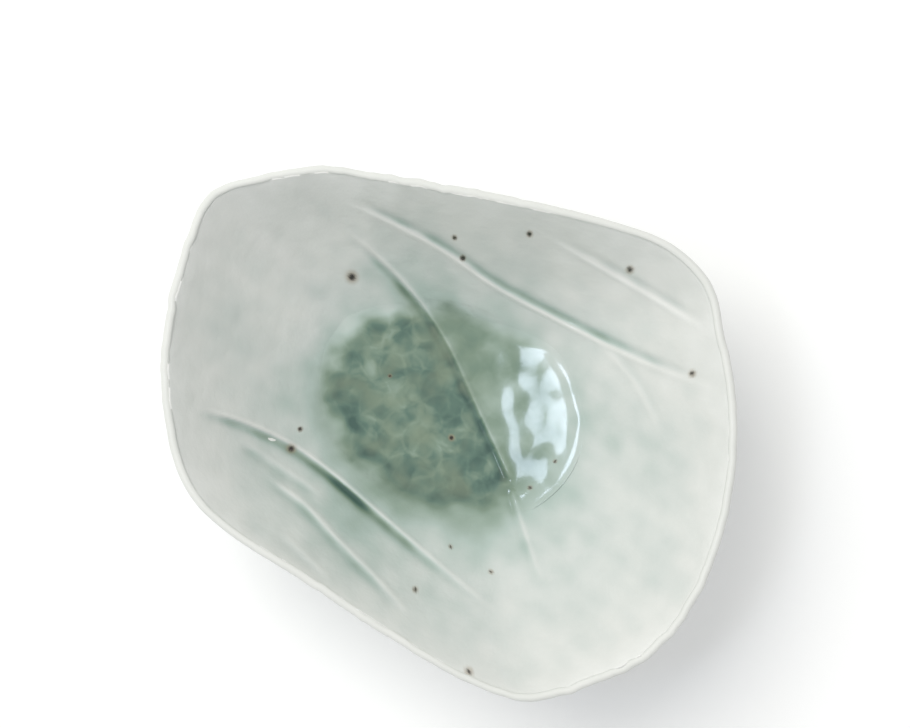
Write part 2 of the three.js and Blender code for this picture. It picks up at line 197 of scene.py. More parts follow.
# The rim's small waves: height in millimetres, how many run round the bowl, and where each starts.
RIM_CHIPS = [(0.12, 19, 0.4), (0.11, 34, 2.1), (0.09, 47, 5.2), (0.08, 71, 1.1), (0.07, 103, 0.3)]
CHIP_INSET = 0.1

# Lengths of the finishes' patterns, in millimetres.
GLAZE_CLOUD = 10.0
BEND_LENGTH = 5.0
BEND_REACH = 3.0
THREAD_SPACING = 5.2
BLOT_LENGTH = 6.0
EARTH_LENGTH = 9.0
RIPPLE_LENGTH = 3.5
RIPPLE_HEIGHT = 0.3
BODY_CLOUD = 9.0
CLAY_GRAIN = 0.5
CLAY_HEIGHT = 0.15

# How much the patterns lighten and darken the glaze, and how strongly the tinges show.
THREAD_CONTRAST = 0.06
BLOT_CONTRAST = 0.08
CLOUD_CONTRAST = 0.16
OLIVE_SHARE = 0.5
RUST_SHARE = 0.55

# Celadon over white porcelain by how deep it looks, from bare white at 0 to the darkest pool at 1.
GLAZE_STOPS = [
    (0.0, "#f1f2ef"), (0.16, "#e4e6e2"), (0.28, "#d4dad6"), (0.42, "#b5c5be"),
    (0.55, "#98ab9e"), (0.68, "#7a907f"), (0.82, "#5c786b"), (1.0, "#405d55"),
]
OLIVE_TINGE = "#87947c"
RUSTY_HALO = "#9a8466"
IRON_CORE = "#2a241e"
WALL_RIPPLE = 0.5
POOL_RIPPLE = 0.15
GLASS_IOR = 1.5
GLAZE_ROUGHNESS = 0.16
GLAZE_COAT = 0.6
GLAZE_COAT_ROUGHNESS = 0.06
PORCELAIN = ("#e9eae6", "#dcdfda")
PORCELAIN_ROUGHNESS = 0.3
PORCELAIN_GRAIN = 0.15
BARE_CLAY = ("#ddd7cb", "#cfc6b6")
BARE_CLAY_ROUGHNESS = 0.7
BARE_CLAY_GRAIN = 0.4

# The table, lamps and fill: metres, watts and colours.
TABLE_HALF = 3.0
TABLE_COLOUR = "#f4f5f5"
TABLE_ROUGHNESS = 0.9
TABLE_SPECULAR = 0.1
TABLE_LIFT = 0.12
KEY_PLACE = (-0.56, 0.60, 1.50)
KEY_TARGET = (0, 0, 0.02)
KEY_SIZE = (0.9, 0.9)
KEY_WATTS = 16
KEY_COLOUR = "#fffdf8"
WINDOW_PLACE = (-0.46, 0.0, 1.2)
WINDOW_TARGET = (0.02, 0.0, 0.02)
WINDOW_SIZE = (0.15, 0.2)
WINDOW_WATTS = 1.0
WINDOW_COLOUR = "#d3e0f5"
FILL_STRENGTH = 0.57

# The camera: its place from above and its height over the rim, its lens and its sensor, in millimetres.
CAMERA_PLACE = (1.53, 16.88)
CAMERA_RISE = 612.2
LENS = 100
SENSOR_WIDTH = 36


def smooth_path(marks, closed, count):
    """Centripetal Catmull-Rom curve: each stretch is a cubic, its end slopes weighed by root chord length."""
    marks = np.array(marks, float)
    if closed:
        before, start, end, after = (np.roll(marks, shift, 0) for shift in (1, 0, -1, -2))
    else:
        padded = np.vstack([2 * marks[0] - marks[1], marks, 2 * marks[-1] - marks[-2]])
        before, start, end, after = padded[:-3], padded[1:-2], padded[2:-1], padded[3:]
    spans = len(start)
    place = np.linspace(0, spans, count + 1)[:-1] if closed else np.linspace(0, spans, count + 1)
    index = np.minimum(place.astype(int), spans - 1)
    part = (place - index)[:, None]
    first = np.sqrt(np.linalg.norm(start - before, axis=1))[:, None]
    middle = np.sqrt(np.linalg.norm(end - start, axis=1))[:, None]
    last = np.sqrt(np.linalg.norm(after - end, axis=1))[:, None]
    left_pair = first + middle
    right_pair = middle + last
    leave = ((start - before) / first - (end - before) / left_pair + (end - start) / middle) * middle
    arrive = ((end - start) / middle - (after - start) / right_pair + (after - end) / last) * middle
    a, b, p, q = start[index], end[index], leave[index], arrive[index]
    return (a + p * part + (3 * (b - a) - 2 * p - q) * part ** 2 + (2 * (a - b) + p + q) * part ** 3)


def rim_table():
    """The rim as sorted angles and radii about the well's centre."""
    path = smooth_path(OUTLINE, True, 1440) - np.array(WELL_CENTRE)
    angle = np.mod(np.arctan2(path[:, 1], path[:, 0]), 2 * math.pi)
    order = np.argsort(angle)
    return angle[order], np.hypot(path[:, 0], path[:, 1])[order]


RIM_ANGLE, RIM_RADIUS = rim_table()
CREASE_PATHS = [smooth_path(crease[6], False, 96) for crease in CREASES]


def rim_radius(angle):
    """How far the rim reaches from the well's centre at each angle."""
    return np.interp(np.mod(angle, 2 * math.pi), RIM_ANGLE, RIM_RADIUS, period=2 * math.pi)


def lip_height(angle):
    """The lip's crest: the rim height less two long waves."""
    wave = 0.6 * np.cos(2 * angle - 1.2) + 0.4 * np.cos(3 * angle + 1.9)
    return RIM_HEIGHT - RIM_WAVE * (1 - wave) / 2


def well_radius(angle):
    """An oval turned by the well's turn."""
    turned = angle - WELL_TURN
    return 1 / np.hypot(np.cos(turned) / WELL_HALF[0], np.sin(turned) / WELL_HALF[1])


def smooth_step(low, high, value):
    """0 below low, 1 above high, and a cubic between."""
    share = np.clip((value - low) / (high - low), 0, 1)
    return share * share * (3 - 2 * share)


def wall_height(x, y):
    """A shallow dish plus a wall that climbs from the well with a power of the way to the rim."""
    across = x - WELL_CENTRE[0]
    along = y - WELL_CENTRE[1]
    angle = np.arctan2(along, across)
    radius = np.hypot(across, along)
    edge = rim_radius(angle) - LIP_INSET
    well = well_radius(angle)
    climb = np.maximum(0, (radius - well) / (edge - well))
    rise = lip_height(angle) - LIP_DROP - FLOOR_HEIGHT - DISH_RISE
    return FLOOR_HEIGHT + DISH_RISE * (radius / edge) ** 2 + rise * climb ** WALL_POWER


def place_on_line(path, x, y):
    """Signed distance, left positive, and share along the nearest stretch of a line, for whole arrays."""
    best = np.full(x.shape, np.inf)
    signed = np.zeros(x.shape)
    share = np.zeros(x.shape)
    for index in range(len(path) - 1):
        start = path[index]
        step = path[index + 1] - start
        held = np.clip(((x - start[0]) * step[0] + (y - start[1]) * step[1]) / (step @ step), 0, 1)
        distance = np.hypot(x - start[0] - step[0] * held, y - start[1] - step[1] * held)
        left = step[0] * (y - start[1]) - step[1] * (x - start[0])
        nearer = distance < best
        best = np.where(nearer, distance, best)
        signed = np.where(nearer, np.where(left < 0, -distance, distance), signed)
        share = np.where(nearer, (index + held) / (len(path) - 1), share)
    return signed, share


def crease_fields(x, y):
    """The creases' lift, a ridge less a trough and its shelf, and how deep the glaze pools along them."""
    lift = np.zeros(x.shape)
    depth = np.zeros(x.shape)
    for crease, path in zip(CREASES, CREASE_PATHS):
        side, ridge, trough, stain, fade_start, fade_end, _ = crease
        signed, share = place_on_line(path, x, y)
        fade = smooth_step(0, fade_start, share) * smooth_step(0, fade_end, 1 - share)
        across = signed * side
        ends = smooth_step(0, RIDGE_FADE, share) * smooth_step(0, RIDGE_FADE, 1 - share)
        held = ends * (0.4 + 0.6 * fade)
        bump = ridge * held * np.exp(-((across / RIDGE_WIDTH) ** 2))
        dip = trough * np.exp(-(((across - TROUGH_OFFSET) / TROUGH_WIDTH) ** 2))
        past = np.maximum(0, across - TROUGH_OFFSET)
        sunk = smooth_step(0, TROUGH_OFFSET, across)
        shelf = SHELF_SHARE * trough * sunk * np.exp(-past / SHELF_LENGTH)
        lift += bump - fade * (dip + shelf)
        depth += fade * stain * (DIP_SHARE * dip + SHELF_DEPTH_SHARE * shelf) - RIDGE_LESS * bump
    stained = np.exp(-(np.hypot(x - STAIN_PLACE[0], y - STAIN_PLACE[1]) / STAIN_REACH) ** 2)
    patchy = 1 + PATCHY_SHARE * waves(x, y, 9.0, 6.3) + STAIN_MORE * stained
    return lift, np.where(depth > 0, depth * patchy, depth)


def waves(x, y, length, seed):
    """Soft irregular waves between about -1 and 1: a sum of sines that run in turned directions."""
    total = np.zeros(np.broadcast(x, y).shape)
    for index in range(6):
        turn = 2.4 * index + seed
        stretch = 2 * math.pi / (length * (0.7 + 0.13 * index))
        total = total + np.sin((x * math.cos(turn) + y * math.sin(turn)) * stretch + 1.7 * index * seed)
    return total / 3.2


def edge_chips(angle):
    """The rim's uneven edge: small waves round the bowl, a few millimetres long."""
    total = sum(height * np.sin(count * angle + start) for height, count, start in RIM_CHIPS)
    return total * (0.75 + 0.5 * np.sin(2 * angle + 3.6)) * (0.7 + 0.3 * np.sin(5 * angle)) - CHIP_INSET


def inside_height(x, y, lift):
    """The seen inside: the wall, its creases, and the soft unevenness that the maker's fingers left."""
    radius = np.hypot(x - WELL_CENTRE[0], y - WELL_CENTRE[1])
    grow = smooth_step(WAVES_START, WAVES_FULL, radius)
    hands = LONG_WAVE * waves(x, y, LONG_WAVE_LENGTH, 1.3) + SHORT_WAVE * waves(x, y, SHORT_WAVE_LENGTH, 2.9)
    return wall_height(x, y) + lift + grow * hands


def glaze_depth_and_painted_light(x, y, depth):
    """How deep the glaze looks, and how mottled.

    A thin wall, painted paler at the top as painted light, plus a halo that fades away from the pool's shore,
    plus the glass of the well, plus a dark band along the lower left shore, plus a painted bluish sheen on
    the lower right wall, plus what stands in the troughs, less what ran off the lip.
    """
    across = x - WELL_CENTRE[0]
    along = y - WELL_CENTRE[1]
    angle = np.arctan2(along, across)
    radius = np.hypot(across, along)
    shore = well_radius(angle) + SHORE_REACH + 1.4 * waves(x, y, 13.0, 0.7) + 0.3 * waves(x, y, 4.0, 5.1)
    inner = smooth_step(1.10, 0.84, radius / shore)
    near = np.exp(-np.maximum(0, radius - shore) / HALO_REACH)
    # The halo is deepest below the pool, then on its left.
    tilt = -0.04 * np.cos(angle) - 0.10 * np.sin(angle) - 0.035 * np.cos(2 * angle)
    signed, _ = place_on_line(CREASE_PATHS[POOL_CREASE], x, y)
    left = smooth_step(1.0, -1.5, signed)
    lower = 0.5 + 0.5 * np.cos(angle - math.radians(232))
    uneven = 0.7 + 0.5 * waves(x, y, 6.0, 1.9)
    band = np.exp(-(((radius / shore - 0.92) / 0.09) ** 2)) * lower ** 1.5 * left * uneven
    glass = inner * (WELL_DEPTH + WELL_LEFT_MORE * left + 0.05 * waves(x, y, 9.0, 2.2))
    lip = np.exp(-np.maximum(0, rim_radius(angle) - COAT_END - radius) / LIP_REACH)
    # Painted light: the upper wall is painted paler, as if lit more brightly.
    top = np.maximum(0, np.sin(angle - math.radians(-25))) * smooth_step(30, 50, radius)
    wall = WALL_DEPTH - PAINTED_LIGHT_UPPER_WALL * top + 0.04 * waves(x, y, 30.0, 0.9) + 0.025 * waves(x, y, 8.0, 4.1)
    # Painted reflection: the lower right wall is painted a little bluer, a painted sheen of the window's
    # light.
    painted_sheen = PAINTED_SHEEN_LOWER_RIGHT * np.cos(angle - math.radians(-35)) * smooth_step(20, 45, radius)
    halo = near * (HALO_DEPTH + (1 - inner) * tilt)
    depth_and_painted_light = wall + halo + glass + SHORE_BAND_DEPTH * band + painted_sheen + TROUGH_DEPTH * depth - LIP_LESS * lip
    return depth_and_painted_light, inner * (0.25 + 0.75 * left)


def slant(x, y):
    """How much longer a straight-down cut through the wall is than a square one."""
    slope_x = (wall_height(x + SLOPE_STEP, y) - wall_height(x - SLOPE_STEP, y)) / (2 * SLOPE_STEP)
    slope_y = (wall_height(x, y + SLOPE_STEP) - wall_height(x, y - SLOPE_STEP)) / (2 * SLOPE_STEP)
    return np.sqrt(1 + slope_x ** 2 + slope_y ** 2)


def plan_point(angle, radius):
    """A place from above, from angle and distance about the well's centre."""
    return WELL_CENTRE[0] + radius * np.cos(angle), WELL_CENTRE[1] + radius * np.sin(angle)


def outer_point(angle, share, lift):
    """The wall's outer face: the inner face moved square to itself by the wall's thickness and a lift."""
    radius = (rim_radius(angle) - LIP_INSET) * share
    here = wall_height(*plan_point(angle, radius))
    far = wall_height(*plan_point(angle, radius + SLOPE_STEP))
    near = wall_height(*plan_point(angle, radius - SLOPE_STEP))
    slope = np.where(radius > SLOPE_STEP, (far - near) / (2 * SLOPE_STEP), 0)
    thickness = 2 * LIP_RADIUS + (FLOOR_THICKNESS - 2 * LIP_RADIUS) * (1 - share) + lift
    length = np.hypot(1, slope)
    return radius + thickness * slope / length, here - thickness / length


def underside_height(angle, radius):
    """The outer face's height at a plan distance, found by halving."""
    low = np.zeros(np.broadcast(angle, radius).shape)
    high = np.ones(low.shape)
    for _ in range(24):
        middle = (low + high) / 2
        inside = outer_point(angle, middle, 0)[0] < radius
        low = np.where(inside, middle, low)
        high = np.where(inside, high, middle)
    return outer_point(angle, low, 0)[1]


def around(count):
    """Angles round the bowl as one column."""
    return np.linspace(0, 2 * math.pi, count, endpoint=False)[:, None]


def pool_height(x, y, lift):
    """The glaze's surface in the well, over the crease.

    A dish that grows with the square of the radius, plus a climb on the right whose slope settles to a steady
    one, rounded into the wall where the two are nearly level.
    """
    wall = inside_height(x, y, 0)
    across = x - WELL_CENTRE[0]
    radius = np.hypot(across, y - WELL_CENTRE[1])
    dish = POOL_DISH * (radius / POOL_DISH_RADIUS) ** 2 - POOL_SINK
    past = np.maximum(0, across - RIGHT_START)
    climb = RIGHT_SLOPE * past ** 2 / (past + RIGHT_EASE)
    level = FLOOR_HEIGHT + POOL_DEPTH + dish + climb + 0.06 * waves(x, y, 9.0, 3.3)
    gap = np.clip(0.5 + (level - wall) / (2 * POOL_BLEND), 0, 1)
    return wall + (level - wall) * gap + POOL_BLEND * gap * (1 - gap) + lift


def grid_mesh(name, x, y, z, closed_rows=False, caps=()):
    """A mesh from a grid of places: columns run round the bowl, rows close on themselves or end in caps."""
    columns, rows = x.shape
    coords = np.stack([x, y, z], -1).reshape(-1, 3) * MM
    column = np.arange(columns)[:, None]
    row = np.arange(rows if closed_rows else rows - 1)[None, :]
    beside = (column + 1) % columns
    above = (row + 1) % rows
    corners = [column * rows + row, column * rows + above, beside * rows + above, beside * rows + row]
    quads = np.stack(corners, -1)
    faces = quads.reshape(-1, 4).tolist()
    for end, point in caps:
        centre = len(coords)
        coords = np.vstack([coords, np.array(point) * MM])
        ring = np.arange(columns) * rows + (0 if end == "first" else rows - 1)
        beyond = np.roll(ring, -1)
        pairs = (beyond, ring) if end == "last" else (ring, beyond)
        middle = np.full(columns, centre)
        faces += np.stack([middle, pairs[0], pairs[1]], -1).tolist()
    mesh = bpy.data.meshes.new(name)
    mesh.from_pydata(coords.tolist(), [], faces)
    mesh.polygons.foreach_set("use_smooth", np.ones(len(mesh.polygons), bool))
    mesh.update()
    piece = bpy.data.objects.new(name, mesh)
    bpy.context.scene.collection.objects.link(piece)
    return piece


def add_attribute(piece, name, values):
    """One number for each corner point of a mesh. The caps' middles take the first one."""
    layer = piece.data.attributes.new(name, "FLOAT", "POINT")
    full = np.full(len(piece.data.vertices), values.reshape(-1)[0], np.float32)
    full[:values.size] = values.reshape(-1)
    layer.data.foreach_set("value", full)


def speck_fields(x, y):
    """How dark the specks' cores are and how rusty their halos."""
    core = np.zeros(x.shape)
    halo = np.zeros(x.shape)
    for place_x, place_y, inner, outer in SPECKS:
        distance = np.hypot(x - place_x, y - place_y)
        core = np.maximum(core, 1 - smooth_step(0.55 * inner, 1.15 * inner, distance))
        halo = np.maximum(halo, 1 - smooth_step(0.3 * outer, outer, distance))
    return core, halo


def place_piece(piece, node, material):
    """Stands a piece in for its node and gives it its finish."""
    piece.data.materials.append(material)
    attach(piece, "root")
    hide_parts(node)


def linear(hex_colour):
    """A hex colour as the eye reads it, turned to linear light."""
    values = [int(hex_colour[start:start + 2], 16) / 255 for start in (1, 3, 5)]
    return tuple(v / 12.92 if v <= 0.04045 else ((v + 0.055) / 1.055) ** 2.4 for v in values) + (1.0,)


def add_node(material, kind, inputs=None, **settings):
    """Adds one node, sets its settings, and links or sets its inputs."""
    node = material.node_tree.nodes.new(kind)
    for key, value in settings.items():
        setattr(node, key, value)
    for key, value in (inputs or {}).items():
        socket = node.inputs[key]
        if isinstance(value, bpy.types.NodeSocket):
            material.node_tree.links.new(value, socket)
        else:
            socket.default_value = value
    return node


def start_material(name):
    """An empty node material with its shader and output."""
    material = bpy.data.materials.new(name)
    material.use_nodes = True
    material.node_tree.nodes.clear()
    shader = add_node(material, "ShaderNodeBsdfPrincipled")
    add_node(material, "ShaderNodeOutputMaterial", {"Surface": shader.outputs[0]})
    return material, shader


def link(material, source, shader, socket):
    """Links one output to the shader."""
    material.node_tree.links.new(source, shader.inputs[socket])


def fill_ramp(ramp, stops):
    """Sets a colour ramp from places and hex colours."""
    while len(ramp.color_ramp.elements) < len(stops):
        ramp.color_ramp.elements.new(0.5)
    for element, (place, colour) in zip(ramp.color_ramp.elements, stops):
        element.position = place
        element.color = linear(colour)


def celadon_glaze(name, unevenness):
    """Celadon glaze on porcelain, poured on and fired until it ran."""
    # The eye sees clear coloured glass over white: sharp reflections on a gently rippled surface, pale where
    # it is thin, blue-green and mottled with bubbles and olive where it pools, with rusty-edged iron specks.
    material, shader = start_material(name)
    place = add_node(material, "ShaderNodeTexCoord").outputs["Object"]
    # On the inner pieces the thickness also holds painted light: a paler upper wall and a bluish lower right
    # sheen.
    thickness = add_node(material, "ShaderNodeAttribute", attribute_name="thickness").outputs["Fac"]
    mottled = add_node(material, "ShaderNodeAttribute", attribute_name="mottle").outputs["Fac"]
    cloud = add_node(material, "ShaderNodeTexNoise",
                     {"Vector": place, "Scale": 1 / (GLAZE_CLOUD * MM), "Detail": 6.0})
    bend = add_node(material, "ShaderNodeTexNoise",
                    {"Vector": place, "Scale": 1 / (BEND_LENGTH * MM), "Detail": 3.0})
    shift = add_node(material, "ShaderNodeVectorMath",
                     {0: bend.outputs["Color"], 1: (BEND_REACH * MM,) * 3}, operation="MULTIPLY")
    moved = add_node(material, "ShaderNodeVectorMath", {0: place, 1: shift.outputs[0]}, operation="ADD")
    flat = add_node(material, "ShaderNodeVectorMath",
                    {0: moved.outputs[0], 1: (1, 1, 0.3)}, operation="MULTIPLY")
    cells = add_node(material, "ShaderNodeTexVoronoi",
                     {"Vector": flat.outputs[0], "Scale": 1 / (THREAD_SPACING * MM)},
                     feature="DISTANCE_TO_EDGE")
    threads = add_node(material, "ShaderNodeMapRange",
                       {"Value": cells.outputs[0], 1: 0.0, 2: 0.16, 3: -THREAD_CONTRAST, 4: 0.0},
                       interpolation_type="SMOOTHSTEP")
    blots = add_node(material, "ShaderNodeTexNoise",
                     {"Vector": flat.outputs[0], "Scale": 1 / (BLOT_LENGTH * MM), "Detail": 2.0,
                      "Distortion": 0.5})
    patch = add_node(material, "ShaderNodeMapRange",
                     {"Value": blots.outputs[0], 1: 0.34, 2: 0.66, 3: -BLOT_CONTRAST, 4: BLOT_CONTRAST},
                     interpolation_type="SMOOTHSTEP")
    both = add_node(material, "ShaderNodeMath",
                    {0: threads.outputs[0], 1: patch.outputs[0]}, operation="ADD")
    mottle = add_node(material, "ShaderNodeMath",
                      {0: both.outputs[0], 1: mottled, 2: thickness}, operation="MULTIPLY_ADD")
    wander = add_node(material, "ShaderNodeMath",
                      {0: cloud.outputs[0], 1: CLOUD_CONTRAST, 2: mottle.outputs[0]},
                      operation="MULTIPLY_ADD")
    centred = add_node(material, "ShaderNodeMath",
                       {0: wander.outputs[0], 1: CLOUD_CONTRAST / 2}, operation="SUBTRACT")
    ramp = add_node(material, "ShaderNodeValToRGB", {"Fac": centred.outputs[0]})
    fill_ramp(ramp, GLAZE_STOPS)
    earth = add_node(material, "ShaderNodeTexNoise",
                     {"Vector": place, "Scale": 1 / (EARTH_LENGTH * MM), "Detail": 2.0})
    olive = add_node(material, "ShaderNodeMapRange",
                     {"Value": earth.outputs[0], 1: 0.42, 2: 0.62, 3: 0.0, 4: OLIVE_SHARE})
    tinge = add_node(material, "ShaderNodeMath", {0: olive.outputs[0], 1: mottled}, operation="MULTIPLY")
    tinted = add_node(material, "ShaderNodeMix",
                      {"Factor": tinge.outputs[0], 6: ramp.outputs[0], 7: linear(OLIVE_TINGE)},
                      data_type="RGBA")
    halo = add_node(material, "ShaderNodeAttribute", attribute_name="halo").outputs["Fac"]
    core = add_node(material, "ShaderNodeAttribute", attribute_name="core").outputs["Fac"]
    rust = add_node(material, "ShaderNodeMath", {0: halo, 1: RUST_SHARE}, operation="MULTIPLY")
    rusty = add_node(material, "ShaderNodeMix",
                     {"Factor": rust.outputs[0], 6: tinted.outputs[2], 7: linear(RUSTY_HALO)},
                     data_type="RGBA")
    dark = add_node(material, "ShaderNodeMix",
                    {"Factor": core, 6: rusty.outputs[2], 7: linear(IRON_CORE)}, data_type="RGBA")
    link(material, dark.outputs[2], shader, "Base Color")
    ripple = add_node(material, "ShaderNodeTexNoise",
                      {"Vector": place, "Scale": 1 / (RIPPLE_LENGTH * MM), "Detail": 3.0})
    bump = add_node(material, "ShaderNodeBump",
                    {"Height": ripple.outputs[0], "Strength": unevenness, "Distance": RIPPLE_HEIGHT * MM})
    link(material, bump.outputs[0], shader, "Normal")
    shader.inputs["Roughness"].default_value = GLAZE_ROUGHNESS
    shader.inputs["IOR"].default_value = GLASS_IOR
    shader.inputs["Coat Weight"].default_value = GLAZE_COAT
    shader.inputs["Coat Roughness"].default_value = GLAZE_COAT_ROUGHNESS
    return material


def fired_porcelain(name, colours, roughness, grain):
    """Porcelain clay, shaped by hand and fired."""
    # The eye sees an even off-white with faint clouds, satin where it is bare, and a fine clay grain.
    material, shader = start_material(name)
    place = add_node(material, "ShaderNodeTexCoord").outputs["Object"]
    cloud = add_node(material, "ShaderNodeTexNoise",
                     {"Vector": place, "Scale": 1 / (BODY_CLOUD * MM), "Detail": 6.0})
    pale, shaded = (linear(colour) for colour in colours)
    tone = add_node(material, "ShaderNodeMix",
                    {"Factor": cloud.outputs[0], 6: pale, 7: shaded}, data_type="RGBA")
    link(material, tone.outputs[2], shader, "Base Color")
    clay = add_node(material, "ShaderNodeTexNoise",
                    {"Vector": place, "Scale": 1 / (CLAY_GRAIN * MM), "Detail": 4.0})
    bump = add_node(material, "ShaderNodeBump",
                    {"Height": clay.outputs[0], "Strength": grain, "Distance": CLAY_HEIGHT * MM})
    link(material, bump.outputs[0], shader, "Normal")
    shader.inputs["Roughness"].default_value = roughness
    return material


def paint_depth(piece, x, y, depth, hidden_shape):
    """Puts the glaze's depth and painted light, its mottling and its specks on the seen sheet of a piece."""
    thick, mottle = glaze_depth_and_painted_light(x, y, depth)
    core, halo = speck_fields(x, y)
    hidden = np.zeros(hidden_shape)
    for name, values in (("thickness", thick), ("mottle", mottle), ("core", core), ("halo", halo)):
        add_attribute(piece, name, np.hstack([values, hidden]))


def make_inner_glaze():
    """The inner coat: a fine polar sheet on top, and a coarse one below that closes it."""
    angle = around(INNER_COLUMNS)
    edge = rim_radius(angle) + edge_chips(angle) - COAT_END
    share = np.linspace(1 / INNER_ROWS, 1, INNER_ROWS)[None, :]
    x, y = plan_point(angle, edge * share)
    lift, depth = crease_fields(x, y)
    top = inside_height(x, y, lift)
    below_share = np.linspace(1, MIDDLE_SHARE, HIDDEN_ROWS)[None, :]
    below_x, below_y = plan_point(angle, edge * below_share)
    below_lift, _ = crease_fields(below_x, below_y)
    below = inside_height(below_x, below_y, below_lift) - COAT * slant(below_x, below_y)
    middle = (*WELL_CENTRE, float(top[:, 0].mean()))
    under = (*WELL_CENTRE, FLOOR_HEIGHT - COAT)
    piece = grid_mesh("inner_glaze_surface", np.hstack([x, below_x]), np.hstack([y, below_y]),
                      np.hstack([top, below]), caps=(("first", middle), ("last", under)))
    paint_depth(piece, x, y, depth, below_x.shape)
    finish = celadon_glaze("inner_celadon_glaze", WALL_RIPPLE)
    place_piece(piece, "inner_glaze", finish)


def make_pool():
    """The pooled glass: a fine sheet that rounds into the wall, closed by a sheet under it."""
    angle = around(POOL_COLUMNS)
    reach = well_radius(angle) + POOL_REACH
    share = np.linspace(1 / POOL_ROWS, 1, POOL_ROWS)[None, :]
    x, y = plan_point(angle, reach * share)
    lift, depth = crease_fields(x, y)
    bed = inside_height(x, y, lift)
    sunk = POOL_EDGE_SINK * smooth_step(POOL_EDGE_START, 1.0, share)
    top = np.maximum(pool_height(x, y, lift) - sunk, bed - POOL_EDGE_BURIED)
    below_share = np.linspace(1, MIDDLE_SHARE, POOL_HIDDEN_ROWS)[None, :]
    below_x, below_y = plan_point(angle, reach * below_share)
    below_lift, _ = crease_fields(below_x, below_y)
    below = inside_height(below_x, below_y, below_lift) - POOL_BED
    centre = [np.array([[value]]) for value in WELL_CENTRE]
    centre_lift, _ = crease_fields(*centre)
    surface_middle = (*WELL_CENTRE, float(pool_height(*centre, centre_lift)[0, 0]))
    piece = grid_mesh("glaze_pool_surface", np.hstack([x, below_x]), np.hstack([y, below_y]),
                      np.hstack([top, below]),
                      caps=(("first", surface_middle), ("last", (*WELL_CENTRE, FLOOR_HEIGHT))))
    paint_depth(piece, x, y, depth, below_x.shape)
    finish = celadon_glaze("pooled_celadon_glaze", POOL_RIPPLE)
    place_piece(piece, "glaze_pool", finish)


def make_body():
    """The body: its inner side, the rounded lip, the outer wall and the underside in one closed skin."""
    angle = around(BODY_COLUMNS)
    edge = rim_radius(angle) + edge_chips(angle) - COAT_END
    inner_share = np.linspace(0.01, 1, BODY_INNER_ROWS)[None, :]
    inner_radius = edge * inner_share
    x, y = plan_point(angle, inner_radius)
    lift, _ = crease_fields(x, y)
    inner_height = inside_height(x, y, lift) - (COAT + COAT_GAP) * slant(x, y)
    turn = np.radians(np.linspace(LIP_FROM, LIP_TO, BODY_LIP_ROWS))[None, :]
    rim_edge = rim_radius(angle) + edge_chips(angle)
    lip_radius = rim_edge - LIP_RADIUS + LIP_RADIUS * np.cos(turn)
    lip_top = lip_height(angle) - LIP_RADIUS + LIP_RADIUS * np.sin(turn)
    outer_share = np.linspace(0.98, MIDDLE_SHARE, BODY_OUTER_ROWS)[None, :]
    outer_radius, outer_height = outer_point(angle, outer_share, 0)
    radius = np.hstack([inner_radius, lip_radius, outer_radius])
    height = np.hstack([inner_height, lip_top, outer_height])
    x, y = plan_point(angle, radius)
    piece = grid_mesh("bowl_body_surface", x, y, height,
                      caps=(("first", (*WELL_CENTRE, FLOOR_HEIGHT - COAT - COAT_GAP)),
                            ("last", (*WELL_CENTRE, FLOOR_HEIGHT - FLOOR_THICKNESS))))
    finish = fired_porcelain("fired_white_porcelain", PORCELAIN, PORCELAIN_ROUGHNESS, PORCELAIN_GRAIN)
    place_piece(piece, "bowl_body", finish)


def make_outer_glaze():
    """The outer coat: the wall's outer face moved out, ending in a thick roll above the foot."""
    angle = around(BODY_COLUMNS)
    edge = rim_radius(angle) - LIP_INSET
    foot = FOOT_RADIUS * foot_oval(angle) + FOOT_FLARE
    low = (foot + BARE_BAND + GLAZE_LINE_WAVE * np.sin(3 * angle + 0.7)) / edge
    step = np.linspace(0, 1, OUTER_COAT_ROWS)[None, :]
    climbed = step * OUTER_LENGTH
    share = low + (OUTER_TOP_SHARE - low) * step
    inner_radius, inner_height = outer_point(angle, share, -OVERLAP)
    roll = GLAZE_ROLL * np.exp(-(climbed ** 2) / 30)
    taper = np.sqrt(np.clip(step / 0.03, 0, 1)) * np.clip((1 - step) / 0.08, 0, 1)
    outer_radius, outer_height = outer_point(angle, share, OUTER_LIFT + (OUTER_COAT + roll) * taper)
    radius = np.hstack([inner_radius, outer_radius[:, ::-1]])
    height = np.hstack([inner_height, outer_height[:, ::-1]])
    x, y = plan_point(angle, radius)
    piece = grid_mesh("outer_glaze_surface", x, y, height, closed_rows=True)
    thick = 0.22 + 0.5 * np.exp(-(climbed ** 2) / 60) + 0.05 * np.sin(5 * angle) * (1 - step)
    add_attribute(piece, "thickness", np.hstack([thick, thick[:, ::-1]]))
    finish = celadon_glaze("outer_celadon_glaze", WALL_RIPPLE)
    place_piece(piece, "outer_glaze", finish)


def foot_oval(angle):
    """How far the foot is from round."""
    return 1 + FOOT_OVAL * np.cos(2 * (angle - WELL_TURN))


